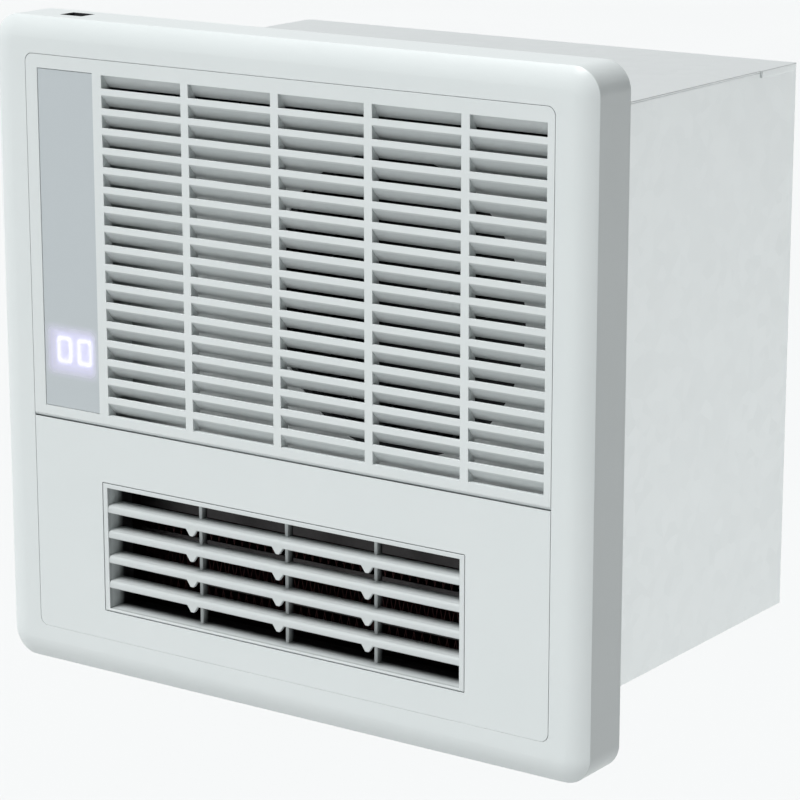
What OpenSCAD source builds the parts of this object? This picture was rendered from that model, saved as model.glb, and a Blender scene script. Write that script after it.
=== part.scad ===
/* [Front panel] */
// Width of the front panel
panel_w = 400; // [380:1:440]
// Height of the front panel
panel_h = 380; // [374:1:420]
// Distance from the wall to the front face of the panel
panel_t = 34; // [32:0.5:44]
// Corner radius of the panel, seen from the front
corner_r = 15.5; // [15:0.5:24]
// Width of the border that curves back at the edges
edge_w = 14; // [8:0.5:16]
// How far the border curves back
edge_drop = 4.4; // [2:0.2:7]
// Thickness of the moulded skins
skin = 2.5; // [2:0.1:3]
// Width of the seams between the moulded pieces
seam = 0.6; // [0.6:0.1:1]
// Width of the border at the sides, up to the seam
border_side = 23.5; // [22:0.5:24]
// Height of the border above the top seam
border_top = 21; // [19:0.5:22]
// Height of the border below the bottom seam
border_low = 21.5; // [20:0.5:22]
// Height of the outlet panel, from the bottom seam to the middle seam
trim_h = 126.5; // [125:0.5:128]
// Radius of the seam's outer corners
seam_r = 5; // [3:0.5:8]
// Width of the release slot in the top wall
notch_w = 16; // [8:1:24]
// Depth of the release slot, front to rear
notch_d = 12; // [6:1:14]
// Distance of the release slot from the wall
notch_y = 8; // [4:1:10]
// Distance of the release slot from the panel's left side
notch_x = 46; // [34:1:80]

/* [Intake door] */
// Number of slots one above the other
rows = 18; // [12:1:18]
// Distance from one slot to the next
row_pitch = 11; // [10:0.1:11]
// Height of a slot
slot_h = 7.4; // [5:0.1:8]
// Distance from the top seam to the first slot
slot_drop = 8.6; // [8:0.2:13]
// Distance from the window to the first column
grille_gap = 6.6; // [5.4:0.2:9.4]
// Width of a column
column_w = 56.2; // [50:0.2:57]
// Distance from one column to the next
column_pitch = 61.4; // [60:0.1:61.6]
// Width of the last column
last_column_w = 47; // [40:0.5:48]
// How far a louvre reaches back
louvre_d = 6.5; // [5:0.5:9]
// How far a louvre slopes down on its way back
louvre_drop = 7.2; // [4:0.2:8]
// Thickness of a louvre, measured upright
louvre_t = 2; // [1.2:0.1:2.6]
// Depth of the skirt around the door
skirt_d = 8; // [5:0.5:10]
// Thickness of the skirt
skirt_t = 2; // [1.5:0.1:2.5]
// Radius of the rolled lower edge, around the hinge line
bead_r = 3; // [2.6:0.1:3.4]
// Radius of the hinge pins
hinge_r = 1.5; // [1.2:0.1:1.8]
// Length of the hinge pins
hinge_l = 2.8; // [2:0.1:2.9]
// Distance of the catches from the centre
catch_x = 110; // [60:1:140]
// Width of a catch
catch_w = 16; // [10:1:24]
// Length of a catch tongue behind the door
tongue_l = 12; // [8:0.5:14]
// Thickness of a catch tongue
tongue_t = 1.6; // [1.2:0.1:2]

/* [Display] */
// Distance from the left seam to the window
window_in = 8.8; // [8:0.1:10.5]
// Width of the window
window_w = 40.3; // [36:0.1:41]
// Distance from the top seam to the window
window_drop = 8; // [7.5:0.5:19]
// Height of the window
window_h = 195; // [150:0.5:195]
// Width of the window's glued edge behind the door
window_lip = 2; // [1:0.5:3]
// Height of a digit
digit_h = 16; // [10:0.5:20]
// Width of a digit
digit_w = 11; // [8:0.5:12]
// Distance between the digits' centres
digit_pitch = 15; // [14:0.5:16]
// Stroke width of a digit's segments
digit_stroke = 2; // [1.2:0.1:2.4]
// Height of the digits' centre above the middle seam
digit_rise = 41.5; // [38:0.5:46]

/* [Air outlet] */
// Width of the outlet frame
outlet_w = 249.4; // [240:0.2:252]
// Height of the outlet frame
outlet_h = 76.2; // [76:0.2:80]
// Centre of the outlet, sideways
outlet_x = -1.7; // [-4:0.1:4]
// Distance from the middle seam to the outlet frame
outlet_drop = 32.6; // [30:0.2:34]
// Depth of the outlet frame
outlet_d = 22; // [20:0.5:24]
// Width of the outlet frame's upright bands
outlet_band = 3.2; // [2.4:0.1:4]
// Height of the outlet frame's upper band
outlet_lid = 2.6; // [2:0.1:3.2]
// Height of the outlet frame's lower band
outlet_sill = 1.4; // [1.2:0.1:2.4]
// Number of air vanes
vanes = 4; // [2:1:4]
// Distance from one vane to the next
vane_pitch = 15; // [14:0.1:15]
// How far a vane reaches back
vane_d = 12; // [10:0.5:16]
// Height of a vane at its front edge
vane_h = 4.7; // [3:0.1:5.4]
// Thickness of a vane at its rear edge
vane_t = 1.4; // [1:0.1:2.4]
// Number of ribs that tie the vanes
ribs = 3; // [1:1:5]
// Thickness of a rib
rib_t = 2.2; // [1.6:0.1:3]
// Depth of a rib, front to rear
rib_d = 5; // [4:0.5:10]
// Drop of the small nubs under the vanes' front edges
nub_h = 3.6; // [2:0.1:4]

/* [Case] */
// How far the case's sides stay inside the panel's sides
case_side = 28; // [26:0.5:29]
// How far the case's top and bottom stay inside the panel's
case_top_in = 29; // [28:0.5:30]
// Depth of the case behind the wall
case_d = 230; // [220:1:300]
// Thickness of the sheet
sheet = 1; // [0.8:0.1:1.2]
// Width of the flange that lies on the wall
flange_w = 20; // [16:0.5:21]
// Thickness of the foam seal under the flange
seal_t = 3; // [2:0.5:4]
// Distance of the wall screws from the case's side
wall_hole_out = 13; // [11:0.5:15]
// Distance between the wall screws, upright
wall_hole_z = 240; // [120:1:280]
// Radius of the wall screw holes
wall_hole_r = 2.75; // [2:0.05:3.25]
// Length of the folded tabs at the case's rear corners
tab_l = 40; // [20:1:80]
// Height of the folded tabs
tab_h = 4; // [3:0.5:12]
// Width of the folded lips on the rear plate
lip = 12; // [8:0.5:20]

/* [Panel screws] */
// Distance of the panel screws from the case's side
screw_in = 8.5; // [7:0.5:10]
// Distance of the upper panel screws below the case's top
screw_drop = 21; // [16:1:41]
// Height of the lower panel screws
screw_low = 45; // [40:1:90]
// Radius of the screw shanks
screw_r = 2; // [1.5:0.1:2.5]
// Radius of the screw heads
screw_head_r = 4; // [3.2:0.1:4.5]
// Length of the screw shanks
screw_l = 8; // [7:0.5:9]

/* [Fan] */
// Centre of the fan, sideways
fan_x = 53; // [50:0.5:55]
// Centre of the fan, upright
fan_z = 45; // [43:0.5:46]
// Radius of the opening in the inlet plate
inlet_r = 84; // [80:0.5:86]
// Radius of the fan housing's mouth
mouth_r = 80; // [74:0.5:82]
// Outer radius of the fan wheel
wheel_r = 90; // [86:0.5:92]
// Width of the fan wheel
wheel_w = 58; // [40:1:60]
// Number of fan blades
blades = 36; // [24:1:44]
// Radial depth of the blades
blade_d = 11; // [8:0.5:13]
// Thickness of a blade
blade_t = 1.2; // [0.8:0.1:1.6]
// Slant of the blades
blade_slant = 35; // [15:1:45]
// Radius of the scroll at its tongue
scroll_r0 = 95; // [94:0.5:96]
// Radius of the scroll at its outlet
scroll_r1 = 118; // [114:0.5:120]
// Depth of the scroll
scroll_d = 72; // [68:0.5:76]
// Wall thickness of the scroll
scroll_t = 2; // [1.6:0.1:2.4]
// Angle of the scroll's tongue
tongue_a = 250; // [240:1:255]

/* [Fan motor] */
// Radius of the motor housing
motor_r = 40; // [36:0.5:46]
// Length of the motor housing
motor_l = 62; // [54:1:80]
// Radius of the motor shaft
shaft_r = 4; // [3:0.1:5]
// Radius of the rotor core
rotor_r = 22; // [16:0.5:24]
// Length of the laminated cores
core_l = 30; // [20:1:34]
// Distance of the motor from the scroll
motor_gap = 8; // [6:0.5:12]
// Radius of the rubber mounts
rubber_r = 7; // [6:0.5:9]

/* [Heater] */
// Depth of the heater block
heater_d = 16; // [12:0.5:16]
// Number of heating bars
heater_bars = 3; // [2:1:4]
// Height of a heating bar
heater_bar_h = 7; // [5:0.5:9]
// Number of folds in a fin strip
fin_folds = 44; // [20:1:50]
// Thickness of the fin sheet
fin_t = 0.5; // [0.4:0.05:0.8]
// Thickness of the heater's frame
heater_frame_t = 1.5; // [1:0.1:2]

/* [Flaps] */
// Height of the changeover flap's hinge line above the case's floor
flap_rise = 10; // [8:0.5:12]
// Depth of the changeover flap's hinge line
flap_y = 46; // [44:0.5:48]
// Lean of the changeover flap to the rear at rest
flap_lean = 20; // [16:0.5:21]
// Swing of the changeover flap
flap_swing = 38; // [30:0.5:38]
// Length of the changeover flap
flap_l = 90; // [86:0.5:91]
// Thickness of the changeover flap
flap_t = 2; // [1.5:0.1:3]
// Radius of the changeover flap's shaft
flap_shaft_r = 3; // [2.5:0.1:3.5]
// Radius of the duct collar
collar_r = 49; // [46:0.5:49]
// Length of the duct collar
collar_l = 50; // [40:1:80]
// Wall thickness of the duct collar
collar_t = 2; // [1.5:0.1:2.5]
// Distance of the collar's centre behind the wall
collar_y = 165; // [160:1:172]
// Height of the collar's centre above the case's underside
collar_rise = 53; // [52:0.5:54]
// Height of the backdraught flap's hinge above the collar's centre
vent_h = 12; // [8:0.5:16]
// Thickness of the backdraught flap
vent_t = 1.5; // [1:0.1:2]
// Radius of the backdraught flap's pins
vent_pin_r = 1.5; // [1.2:0.1:2]

/* [Electrics] */
// Height of the cable gland
gland_z = 40; // [20:1:100]
// Depth of the cable gland behind the wall
gland_y = 130; // [100:1:160]
// Radius of the cable bore
gland_bore = 5.5; // [4:0.1:6]
// Width of the control tray
tray_w = 84; // [76:1:90]
// Height of the control tray
tray_h = 160; // [150:1:170]
// Depth of the control tray
tray_d = 34; // [30:1:44]

/* [Fits] */
// Clearance between a pin and its bore
run = 0.06; // [0.03:0.01:0.1]
// Clearance between pieces that pass each other
pass = 0.4; // [0.3:0.05:0.6]

/* [Hidden] */

$fn = 64;
// A cut reaches this far past the face that it opens
over = 1;
// Joined shapes reach this far into each other
bite = 0.5;

// Colours
white = "#D5DDDC";
zinc = "#C9CFCF";
black_plastic = "#26282A";
dark_metal = "#5C6064";
copper = "#B0703A";
rubber_grey = "#3A3D40";
board_green = "#2F6B4A";

// Panel levels, measured forward from the wall
front_f = panel_t;
edge_f = panel_t - edge_drop;
inset_w = panel_w - 2 * border_side;
seam_top = panel_h / 2 - border_top;
seam_bottom = border_low - panel_h / 2;
seam_mid = seam_bottom + trim_h;
slot_top = seam_top - slot_drop;
window_x = window_in - inset_w / 2;
window_top = seam_top - window_drop;
grille_x = window_x + window_w + grille_gap;
digit_z = seam_mid + digit_rise;
outlet_top = seam_mid - outlet_drop;
roll_r = (edge_w * edge_w + edge_drop * edge_drop) / (2 * edge_drop);
flange_f = seal_t + sheet;
open_w = inset_w + seam;
door_w = inset_w - seam;
open_top = seam_top + seam / 2;
open_bottom = seam_bottom - seam / 2;
door_top = seam_top - seam / 2;
door_bottom = seam_mid + seam / 2;
trim_top = seam_mid - seam / 2;
trim_bottom = seam_bottom + seam / 2;
return_t = skin;
notch_mid = notch_x - panel_w / 2;
notch_lip = 20;
lip_gap = 1;
ledge_w = 18;
ledge_low_w = 7;
rebate_w = 6;

// Hinge line of the door
hinge_y = -(front_f - bead_r);
hinge_z = door_bottom + bead_r;

// Case levels
case_front = -flange_f;
case_w = panel_w - 2 * case_side;
case_h = panel_h - 2 * case_top_in;
case_in_w = case_w - 2 * sheet;
case_in_h = case_h - 2 * sheet;
wall_hole_x = case_w + 2 * wall_hole_out;
screw_x = case_w / 2 - screw_in;
screw_top = case_h / 2 - screw_drop;
flap_z = flap_rise - case_in_h / 2;
collar_z = collar_rise - case_h / 2;

// Fan levels, measured backward from the wall
plate_y = 2;
scroll_y = plate_y + sheet + 3;
wheel_y = scroll_y + scroll_t + 4;
scroll_back = scroll_y + scroll_d;
motor_y = scroll_back + motor_gap;
// Distance from the inlet plate to the case's top, for the wires
plate_drop = 16;
plate_top = case_in_h / 2 - plate_drop;
spiral_steps = 58;
spiral_end = 540;

// Outlet levels
outlet_bottom = outlet_top - outlet_h;
outlet_left = outlet_x - outlet_w / 2;
outlet_right = outlet_x + outlet_w / 2;
vane_len = outlet_w - 2 * outlet_band;
slot1_top = outlet_top - outlet_lid;
channel_w = outlet_w + 2;
channel_left = outlet_x - channel_w / 2;
channel_right = outlet_x + channel_w / 2;
channel_back = 92;
heater_y = -3;
heater_top = outlet_top + 2;
heater_bottom = outlet_bottom;
// Height of the shelf above the outlet frame, clear of the heater's frame
shelf_rise = 16.6;
shelf_z = outlet_top + shelf_rise;

// Box given by its two ends along each axis
module block(x, y, z) {
    translate([x[0], y[0], z[0]])
        cube([x[1] - x[0], y[1] - y[0], z[1] - z[0]]);
}

// Turns a drawing of the front view, thick along its own Z, to face forward
module facing() {
    rotate([90, 0, 0])
        children();
}

// Rounded rectangle between two corners
module rounded(x0, z0, x1, z1, r) {
    union() {
        translate([x0 + r, z0])
            square([x1 - x0 - 2 * r, z1 - z0]);
        translate([x0, z0 + r])
            square([x1 - x0, z1 - z0 - 2 * r]);
        for (x = [x0 + r, x1 - r])
            for (z = [z0 + r, z1 - r])
                translate([x, z])
                    circle(r);
    }
}

// Rod along X, Y or Z from a start point
module rod_x(p, l, r) {
    translate(p)
        rotate([0, 90, 0])
            cylinder(h = l, r = r);
}

module rod_y(p, l, r) {
    translate(p)
        rotate([-90, 0, 0])
            cylinder(h = l, r = r);
}

// Section through the curved border: x outward, y forward
module border_section() {
    foot = corner_r - edge_w;
    a_out = asin(edge_w / roll_r);
    a_in = asin((edge_w - skin) / (roll_r - skin));
    steps = 8;
    outer = [for (i = [0 : steps]) let (a = a_out * (1 - i / steps))
        [foot + roll_r * sin(a), front_f - roll_r + roll_r * cos(a)]];
    inner = [for (i = [0 : steps]) let (a = a_in * i / steps)
        [foot + (roll_r - skin) * sin(a), front_f - roll_r + (roll_r - skin) * cos(a)]];
    polygon(concat([[corner_r, 0]], outer, inner, [[corner_r - skin, 0]]));
}

// Curved border and side walls, all the way round
module border() {
    half_w = panel_w / 2 - corner_r;
    half_h = panel_h / 2 - corner_r;
    for (side = [[0, half_w, half_h], [90, half_h, half_w], [180, half_w, half_h], [270, half_h, half_w]])
        rotate(side[0]) {
            translate([side[1], side[2], 0])
                rotate([90, 0, 0])
                    linear_extrude(2 * side[2])
                        border_section();
            translate([side[1], side[2], 0])
                rotate_extrude(angle = 90, $fn = 96)
                    border_section();
        }
}

// Outline of the opening that holds the door and the outlet panel
module opening(grow) {
    rounded(-open_w / 2 - grow, open_bottom - grow, open_w / 2 + grow, open_top + grow, seam_r + grow);
}

// Border of the panel with its openings, ledges and hinge holes
module front_frame() {
    color(white)
        difference() {
            union() {
                facing() {
                    border();
                    translate([0, 0, front_f - skin])
                        linear_extrude(skin)
                            difference() {
                                rounded(-panel_w / 2 + edge_w, -panel_h / 2 + edge_w,
                                    panel_w / 2 - edge_w, panel_h / 2 - edge_w, corner_r - edge_w);
                                opening(0);
                            }
                    // Return walls behind the seams
                    translate([0, 0, flange_f])
                        linear_extrude(front_f - skin - flange_f)
                            difference() {
                                opening(return_t);
                                opening(0);
                            }
                    // Ledge that lies on the case's flange
                    translate([0, 0, flange_f])
                        linear_extrude(skin)
                            difference() {
                                opening(return_t);
                                translate([-open_w / 2 + ledge_w, open_bottom + ledge_low_w])
                                    square([open_w - 2 * ledge_w,
                                        open_top - open_bottom - ledge_w - ledge_low_w]);
                            }
                    // Rebate that carries the outlet panel
                    translate([0, 0, front_f - 2 * skin])
                        linear_extrude(skin)
                            difference() {
                                translate([-open_w / 2, open_bottom])
                                    square([open_w, trim_top - open_bottom]);
                                translate([-open_w / 2 + rebate_w, open_bottom + rebate_w])
                                    square([open_w - 2 * rebate_w, trim_top - open_bottom - 2 * rebate_w]);
                            }
                }
                // Lip behind the release slot, which keeps light and dust out
                block([notch_mid - notch_w / 2 - notch_lip, notch_mid + notch_w / 2 + notch_lip / 2],
                    [-skin, 0], [case_h / 2 + flange_w + lip_gap, panel_h / 2 - skin + bite]);
            }
            // Hinge holes of the door
            rod_x([-open_w / 2 - return_t - over, hinge_y, hinge_z], open_w + 2 * return_t + 2 * over,
                hinge_r + run);
            // Release slot in the top wall
            block([notch_mid - notch_w / 2, notch_mid + notch_w / 2], [-notch_y - notch_d, -notch_y],
                [panel_h / 2 - skin - over, panel_h / 2 + over]);
            // Holes for the panel screws
            for (x = [-screw_x, screw_x])
                for (z = [screw_low, screw_top])
                    rod_y([x, -flange_f - skin - over, z], skin + 2 * over, screw_r + pass / 2);
        }
}

// Lower panel, flush in the frame, with the window for the outlet grille
module outlet_panel() {
    hook_w = 14;
    hook_t = 1.6;
    hook_x = inset_w / 2 - rebate_w - seam - hook_t - pass;
    color(white)
        union() {
            facing()
                translate([0, 0, front_f - skin])
                    linear_extrude(skin)
                        difference() {
                            union() {
                                rounded(-door_w / 2, trim_bottom, door_w / 2, trim_top, seam_r);
                                translate([-door_w / 2, (trim_bottom + trim_top) / 2])
                                    square([door_w, (trim_top - trim_bottom) / 2]);
                            }
                            rounded(outlet_left - pass, outlet_bottom - pass, outlet_right + pass,
                                outlet_top + pass, 2 * pass);
                        }
            // Snap hooks behind the rebate
            for (s = [-1, 1])
                for (z = [trim_bottom + 24, trim_top - 24]) {
                    translate([0, 0, z - hook_w / 2])
                        block(s > 0 ? [hook_x, hook_x + hook_t] : [-hook_x - hook_t, -hook_x],
                            [-front_f + skin, -front_f + 2 * skin + pass + hook_t], [0, hook_w]);
                    translate([0, 0, z - hook_w / 2])
                        block(s > 0 ? [hook_x, hook_x + hook_t + 2] : [-hook_x - hook_t - 2, -hook_x],
                            [-front_f + 2 * skin + pass, -front_f + 2 * skin + pass + hook_t], [0, hook_w]);
                }
        }
}

// Section through a vane: y is the depth behind the front face, z counts from its front edge
module vane_section() {
    steps = 6;
    brow = 2;
    chin = 0.5;
    front = [for (i = [0 : steps]) let (a = 90 * i / steps)
        [brow - brow * cos(a), vane_h - brow + brow * sin(a)]];
    polygon(concat([[0, chin]], front, [[vane_d, vane_h], [vane_d, vane_h - vane_t], [chin, 0]]));
}

// Section laid along X: x of the drawing runs backward, y runs up
module along_x(x, l) {
    translate([x, 0, 0])
        rotate([90, 0, 90])
            linear_extrude(l)
                children();
}

// Fixed moulding with the air vanes
module outlet_grille() {
    lip_w = 3;
    rib_y = -front_f + vane_d - 3;
    inner_bottom = outlet_bottom + outlet_sill;
    color(white)
        union() {
            // Frame with its rear lip
            difference() {
                union() {
                    block([outlet_left, outlet_right], [-front_f, -front_f + outlet_d],
                        [outlet_bottom, outlet_top]);
                    block([outlet_left - lip_w, outlet_right + lip_w],
                        [-front_f + skin, -front_f + 2 * skin], [outlet_bottom - lip_w, outlet_top + lip_w]);
                }
                block([outlet_left + outlet_band, outlet_right - outlet_band],
                    [-front_f - over, -front_f + outlet_d + over], [inner_bottom, slot1_top]);
            }
            for (i = [1 : vanes])
                translate([0, -front_f + 0.4, slot1_top - i * vane_pitch])
                    along_x(outlet_left + outlet_band, vane_len)
                        vane_section();
            // Ribs behind the vanes and the nubs in front of them
            for (k = [1 : ribs]) {
                x = outlet_left + outlet_band + vane_len * k / (ribs + 1);
                block([x - rib_t / 2, x + rib_t / 2], [rib_y, rib_y + rib_d], [inner_bottom, slot1_top]);
                for (i = [1 : vanes])
                    translate([x, -front_f + 0.4, slot1_top - i * vane_pitch])
                        rotate([-90, 0, 0])
                            linear_extrude(rib_t)
                                polygon([[-4.2, -0.8], [4.2, -0.8], [1.1, nub_h], [-1.1, nub_h]]);
            }
        }
}

// Spring catches that hold the door's tongues, one at each side
module door_catches() {
    jaw = 1.4;
    tongue_z = door_top - skirt_t - 3;
    back = -front_f + skin + tongue_l + pass;
    color(white)
        for (x = [-catch_x, catch_x])
            difference() {
                block([x - catch_w / 2, x + catch_w / 2], [back - tongue_l + 2, back + jaw],
                    [tongue_z - tongue_t / 2 - pass - jaw, open_top]);
                block([x - catch_w / 2 - over, x + catch_w / 2 + over], [back - tongue_l, back],
                    [tongue_z - tongue_t / 2 - pass, tongue_z + tongue_t / 2 + pass]);
                block([x - catch_w / 2 - over, x + catch_w / 2 + over],
                    [back - tongue_l, -front_f + skirt_d + pass],
                    [tongue_z + tongue_t / 2 + pass + jaw, open_top + over]);
            }
}

// Screws that hold the frame to the case
module frame_screws() {
    head_h = 2.4;
    slot_l = 4.4;
    slot_t = 0.9;
    color(dark_metal)
        for (x = [-screw_x, screw_x])
            for (z = [screw_low, screw_top])
                translate([x, 0, z])
                    difference() {
                        union() {
                            rod_y([0, -flange_f - skin - head_h, 0], head_h, screw_head_r);
                            rod_y([0, -flange_f - skin - 1, 0], screw_l, screw_r);
                        }
                        for (a = [0, 90])
                            rotate([0, a, 0])
                                block([-slot_l / 2, slot_l / 2],
                                    [-flange_f - skin - head_h - over, -flange_f - skin - head_h / 2],
                                    [-slot_t / 2, slot_t / 2]);
                    }
}

// Section through one louvre: x runs backward from the front face, y up from its top
module louvre_section() {
    bar = row_pitch - slot_h;
    polygon([[0, 0], [0, -bar], [louvre_d, -bar - louvre_drop], [louvre_d, -bar - louvre_drop + louvre_t],
        [bar * 0.4, 0]]);
}

columns = 5;
function column_x(i) = grille_x + i * column_pitch;
function column_width(i) = i == columns - 1 ? last_column_w : column_w;
grille_end = column_x(columns - 1) + last_column_w;
slots_h = (rows - 1) * row_pitch + slot_h;

// Hinged door with the louvres and the place of the display window
module intake_door() {
    tongue_z = door_top - skirt_t - 3;
    color(white)
        union() {
            difference() {
                union() {
                    facing()
                        translate([0, 0, front_f - skin])
                            linear_extrude(skin)
                                union() {
                                    rounded(-door_w / 2, door_bottom + bead_r, door_w / 2, door_top, seam_r);
                                    translate([-door_w / 2, door_bottom + bead_r])
                                        square([door_w, (door_top - door_bottom) / 2]);
                                }
                    // Skirt at the sides and the top
                    facing()
                        translate([0, 0, front_f - skirt_d])
                            linear_extrude(skirt_d - skin)
                                difference() {
                                    rounded(-door_w / 2, door_bottom, door_w / 2, door_top, seam_r);
                                    rounded(-door_w / 2 + skirt_t, door_bottom - seam_r,
                                        door_w / 2 - skirt_t, door_top - skirt_t, seam_r - skirt_t);
                                    translate([-door_w / 2 - over, door_bottom - over])
                                        square([door_w + 2 * over, 2 * bead_r + seam_r]);
                                }
                }
                // Columns of slots
                for (i = [0 : columns - 1])
                    block([column_x(i), column_x(i) + column_width(i)],
                        [-front_f - over, -front_f + skin + over], [slot_top - slots_h, slot_top]);
                // Place of the display window
                block([window_x, window_x + window_w], [-front_f - over, -front_f + skin + over],
                    [window_top - window_h, window_top]);
            }
            // Louvres, one above each slot except the first
            for (i = [1 : rows - 1])
                translate([0, -front_f, slot_top - i * row_pitch + row_pitch - slot_h])
                    along_x(grille_x - over, grille_end - grille_x + 2 * over)
                        louvre_section();
            // Hood behind the first slot
            translate([0, -front_f, slot_top + row_pitch - slot_h])
                along_x(grille_x - over, grille_end - grille_x + 2 * over)
                    polygon([[skin - bite, -row_pitch + slot_h],
                        [louvre_d, -row_pitch + slot_h - louvre_drop],
                        [louvre_d, -row_pitch + slot_h - louvre_drop + louvre_t], [skin - bite, 0]]);
            // Uprights between the columns and at both ends
            for (x = [for (i = [0 : columns - 2]) [column_x(i) + column_width(i), column_x(i + 1)],
                    [grille_x - skirt_t, grille_x], [grille_end, grille_end + skirt_t]])
                block(x, [-front_f + skin - bite, -front_f + louvre_d],
                    [slot_top - slots_h - over, slot_top + row_pitch - slot_h]);
            // Rolled lower edge with the hinge pins
            rod_x([-door_w / 2, hinge_y, hinge_z], door_w, bead_r);
            rod_x([-door_w / 2 - hinge_l, hinge_y, hinge_z], door_w + 2 * hinge_l, hinge_r);
            // Tongues for the catches
            for (x = [-catch_x, catch_x])
                block([x - catch_w / 2 + 2, x + catch_w / 2 - 2],
                    [-front_f + skin - bite, -front_f + skin + tongue_l],
                    [tongue_z - tongue_t / 2, tongue_z + tongue_t / 2]);
        }
}

// Smoked window, glued into the door from behind
module display_window() {
    color("#B8C1C4")
        union() {
            block([window_x + run, window_x + window_w - run], [-front_f + 0.3, -front_f + skin],
                [window_top - window_h + run, window_top - run]);
            block([window_x - window_lip, window_x + window_w + window_lip],
                [-front_f + skin, -front_f + skin + window_lip_t],
                [max(window_top - window_h - window_lip, hinge_z + bead_r + run), window_top + window_lip]);
        }
}

// Holder on the frame's ledge that carries the display behind the door
holder_x = [window_x - 4, window_x + window_w + 2];
holder_z = [digit_z - 26, digit_z + 26];
window_lip_t = 1.2;
segment_t = 0.6;
digit_block = 2.7;
digit_back = -front_f + skin + window_lip_t + pass + digit_block + segment_t;
board_t = 1.6;

module display_holder() {
    wall = 1.6;
    color(white)
        difference() {
            block(holder_x, [digit_back + board_t, -flange_f - skin], holder_z);
            block([holder_x[0] + wall, holder_x[1] - wall], [digit_back, -flange_f - skin - wall],
                [holder_z[0] + wall, holder_z[1] - wall]);
        }
}

module display_board() {
    color(board_green)
        block([holder_x[0] + 1, holder_x[1] - 1], [digit_back, digit_back + board_t],
            [holder_z[0] + 1, holder_z[1] - 1]);
}

// One seven-segment figure, standing on its centre
module digit() {
    w = digit_w;
    h = digit_h;
    s = digit_stroke;
    g = 0.5;
    for (z = [-h / 2 + s / 2, 0, h / 2 - s / 2])
        block([-w / 2 + s + g, w / 2 - s - g], [-segment_t, 0], [z - s / 2, z + s / 2]);
    for (x = [-w / 2 + s / 2, w / 2 - s / 2])
        for (z = [-h / 4, h / 4])
            block([x - s / 2, x + s / 2], [-segment_t, 0], [z - h / 4 + g + s / 4, z + h / 4 - g - s / 4]);
}

digits_x = window_x + window_w / 2;

module digit_module() {
    color(black_plastic)
        block([digits_x - digit_pitch / 2 - digit_w / 2 - 2, digits_x + digit_pitch / 2 + digit_w / 2 + 2],
            [digit_back - digit_block, digit_back], [digit_z - digit_h / 2 - 2, digit_z + digit_h / 2 + 2]);
}

module digit_segments() {
    color("#F4F6FF")
        for (s = [-1, 1])
            translate([digits_x + s * digit_pitch / 2, digit_back - digit_block, digit_z])
                digit();
}

// Flange around the front of the case, with the wall screws' holes
module case_flange() {
    color(zinc)
        difference() {
            block([-case_w / 2 - flange_w, case_w / 2 + flange_w], [case_front, case_front + sheet],
                [-case_h / 2 - flange_w, case_h / 2 + flange_w]);
            block([-case_w / 2, case_w / 2], [case_front - over, case_front + sheet + over],
                [-case_h / 2, case_h / 2]);
            for (x = [-wall_hole_x / 2, wall_hole_x / 2])
                for (z = [-wall_hole_z / 2, wall_hole_z / 2])
                    rod_y([x, case_front - over, z], sheet + 2 * over, wall_hole_r);
        }
}

// Top sheet of the case, with a tab folded down at each rear corner
module case_top() {
    tab_set = 2;
    color(zinc)
        union() {
            block([-case_w / 2, case_w / 2], [case_front, case_d], [case_in_h / 2, case_h / 2]);
            for (s = [0, 1])
                mirror([s, 0, 0])
                    block([case_w / 2, case_w / 2 + sheet], [case_d - tab_l - tab_set, case_d - tab_set],
                        [case_h / 2 - tab_h, case_h / 2]);
        }
}

// Left side sheet, with the holes for the duct collar and the cable
module case_left() {
    color(zinc)
        difference() {
            block([-case_w / 2, -case_in_w / 2], [case_front, case_d], [-case_h / 2, case_in_h / 2]);
            rod_x([-case_w / 2 - over, gland_y, gland_z], sheet + 2 * over, gland_thread_r + run);
            rod_x([-case_w / 2 - over, collar_y, collar_z], sheet + 2 * over, collar_r - collar_t);
            for (y = [-collar_hole, collar_hole])
                for (z = [-collar_hole, collar_hole])
                    rod_x([-case_w / 2 - over, collar_y + y, collar_z + z], sheet + 2 * over,
                        collar_screw_r + run);
        }
}

module case_right() {
    color(zinc)
        block([case_in_w / 2, case_w / 2], [case_front, case_d], [-case_h / 2, case_in_h / 2]);
}

module case_bottom() {
    color(zinc)
        block([-case_in_w / 2, case_in_w / 2], [case_front, case_d], [-case_h / 2, -case_in_h / 2]);
}

// Rear plate with its folded lips inside the tube
module case_back() {
    color(zinc)
        difference() {
            block([-case_in_w / 2, case_in_w / 2], [case_d - lip, case_d], [-case_in_h / 2, case_in_h / 2]);
            block([-case_in_w / 2 + sheet, case_in_w / 2 - sheet], [case_d - lip - over, case_d - sheet],
                [-case_in_h / 2 + sheet, case_in_h / 2 - sheet]);
        }
}

// Foam seal between the flange and the wall
module wall_seal() {
    inset = 1;
    color(rubber_grey)
        difference() {
            block([-case_w / 2 - flange_w + inset, case_w / 2 + flange_w - inset], [-seal_t, 0],
                [-case_h / 2 - flange_w + inset, case_h / 2 + flange_w - inset]);
            block([-case_w / 2 - inset, case_w / 2 + inset], [-seal_t - over, over],
                [-case_h / 2 - inset, case_h / 2 + inset]);
            for (x = [-wall_hole_x / 2, wall_hole_x / 2])
                for (z = [-wall_hole_z / 2, wall_hole_z / 2])
                    rod_y([x, -seal_t - over, z], seal_t + 2 * over, wall_hole_r + 1);
        }
}

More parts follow.
